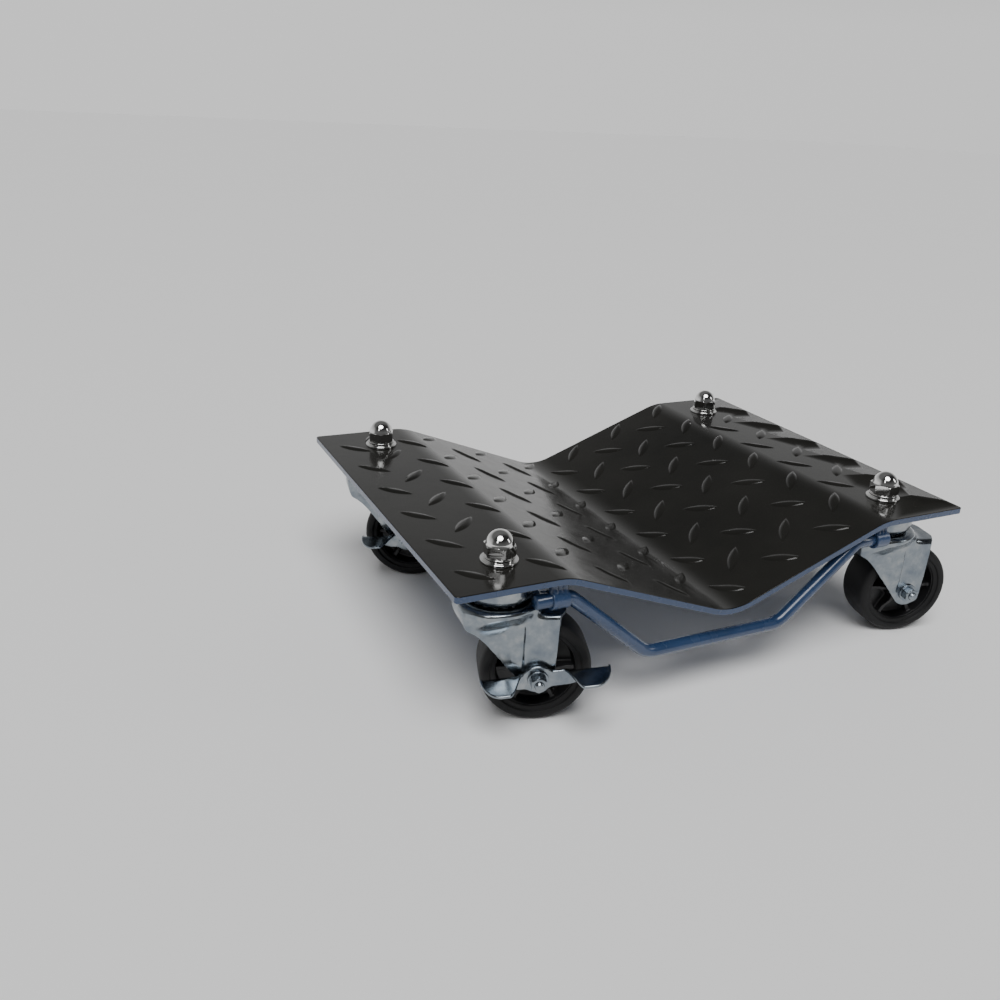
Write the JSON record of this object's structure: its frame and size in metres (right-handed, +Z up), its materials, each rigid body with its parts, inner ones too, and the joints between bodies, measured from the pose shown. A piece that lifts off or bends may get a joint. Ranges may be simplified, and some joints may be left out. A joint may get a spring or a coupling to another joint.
{
  "type": "wheel dolly",
  "caption": "Vehicle wheel dolly: bent tread-plate cradle on swivel casters with side brakes and a swinging drop carry handle.",
  "frame": {"origin": "on the floor, under the middle of the deck", "axes": "+X along the deck from one wing to the other, +Y across the deck away from the carry handle, +Z up"},
  "size_m": [0.4395, 0.3276, 0.1332],
  "materials": {
    "deck_paint": "gloss dark warm grey paint over pressed tread plate",
    "handle_paint": "gloss dark slate blue paint",
    "chrome": "bright chrome plate",
    "zinc": "bright zinc plate over pressed steel",
    "spring_steel": "plain hardened steel, satin",
    "tyre": "hard black rubber, satin",
    "core_plastic": "moulded black plastic, fine matte"
  },
  "bodies": {
    "deck": {"deck_plate": "deck_paint", "handle_sleeve_left": "handle_paint", "handle_sleeve_right": "handle_paint", "sleeve_welds": "handle_paint", "dome_nuts": "chrome", "lock_washers": "spring_steel", "flat_washers": "chrome", "stem_fl": "zinc", "upper_race_fl": "zinc", "swivel_balls_fl": "spring_steel", "lower_race_fl": "zinc", "stem_fr": "zinc", "upper_race_fr": "zinc", "swivel_balls_fr": "spring_steel", "lower_race_fr": "zinc", "stem_bl": "zinc", "upper_race_bl": "zinc", "swivel_balls_bl": "spring_steel", "lower_race_bl": "zinc", "stem_br": "zinc", "upper_race_br": "zinc", "swivel_balls_br": "spring_steel", "lower_race_br": "zinc"},
    "swivel_fl": {"fork_fl": "zinc", "axle_sleeve_fl": "spring_steel", "axle_bolt_fl": "zinc", "axle_washers_fl": "zinc", "axle_nut_fl": "zinc", "brake_cam_fl": "zinc"},
    "wheel_fl": {"tyre_fl": "tyre", "wheel_core_fl": "core_plastic"},
    "brake_fl": {"brake_lever_fl": "zinc"},
    "swivel_fr": {"fork_fr": "zinc", "axle_sleeve_fr": "spring_steel", "axle_bolt_fr": "zinc", "axle_washers_fr": "zinc", "axle_nut_fr": "zinc"},
    "wheel_fr": {"tyre_fr": "tyre", "wheel_core_fr": "core_plastic"},
    "swivel_bl": {"fork_bl": "zinc", "axle_sleeve_bl": "spring_steel", "axle_bolt_bl": "zinc", "axle_washers_bl": "zinc", "axle_nut_bl": "zinc", "brake_cam_bl": "zinc"},
    "wheel_bl": {"tyre_bl": "tyre", "wheel_core_bl": "core_plastic"},
    "brake_bl": {"brake_lever_bl": "zinc"},
    "swivel_br": {"fork_br": "zinc", "axle_sleeve_br": "spring_steel", "axle_bolt_br": "zinc", "axle_washers_br": "zinc", "axle_nut_br": "zinc"},
    "wheel_br": {"tyre_br": "tyre", "wheel_core_br": "core_plastic"},
    "handle": {"carry_handle": "handle_paint"}
  },
  "joints": [
    {"name": "swivel_fl_turn", "type": "hinge", "parent": "deck", "child": "swivel_fl", "pos_m": [-0.1645, -0.1155, 0.09], "axis": [0, 0, 1], "continuous": true},
    {"name": "wheel_fl_spin", "type": "hinge", "parent": "swivel_fl", "child": "wheel_fl", "pos_m": [-0.1395, -0.1243, 0.0375], "axis": [-0.3322, -0.9432, 0], "continuous": true},
    {"name": "brake_fl_press", "type": "hinge", "parent": "swivel_fl", "child": "brake_fl", "pos_m": [-0.1395, -0.1243, 0.0375], "axis": [-0.3322, -0.9432, 0], "range_deg": [-22, 0]},
    {"name": "swivel_fr_turn", "type": "hinge", "parent": "deck", "child": "swivel_fr", "pos_m": [0.1645, -0.1155, 0.09], "axis": [0, 0, 1], "continuous": true},
    {"name": "wheel_fr_spin", "type": "hinge", "parent": "swivel_fr", "child": "wheel_fr", "pos_m": [0.19029, -0.1216, 0.0375], "axis": [-0.23, -0.9732, 0], "continuous": true},
    {"name": "swivel_bl_turn", "type": "hinge", "parent": "deck", "child": "swivel_bl", "pos_m": [-0.1645, 0.1155, 0.09], "axis": [0, 0, 1], "continuous": true},
    {"name": "wheel_bl_spin", "type": "hinge", "parent": "swivel_bl", "child": "wheel_bl", "pos_m": [-0.1415, 0.10233, 0.0375], "axis": [-0.497, -0.8678, 0], "continuous": true},
    {"name": "brake_bl_press", "type": "hinge", "parent": "swivel_bl", "child": "brake_bl", "pos_m": [-0.1415, 0.10233, 0.0375], "axis": [-0.497, -0.8678, 0], "range_deg": [-22, 0]},
    {"name": "swivel_br_turn", "type": "hinge", "parent": "deck", "child": "swivel_br", "pos_m": [0.1645, 0.1155, 0.09], "axis": [0, 0, 1], "continuous": true},
    {"name": "wheel_br_spin", "type": "hinge", "parent": "swivel_br", "child": "wheel_br", "pos_m": [0.18871, 0.10472, 0.0375], "axis": [-0.4067, -0.9135, 0], "continuous": true},
    {"name": "handle_swing", "type": "hinge", "parent": "deck", "child": "handle", "pos_m": [0, -0.144, 0.0938], "axis": [1, 0, 0], "range_deg": [-66, 30]}
  ]
}
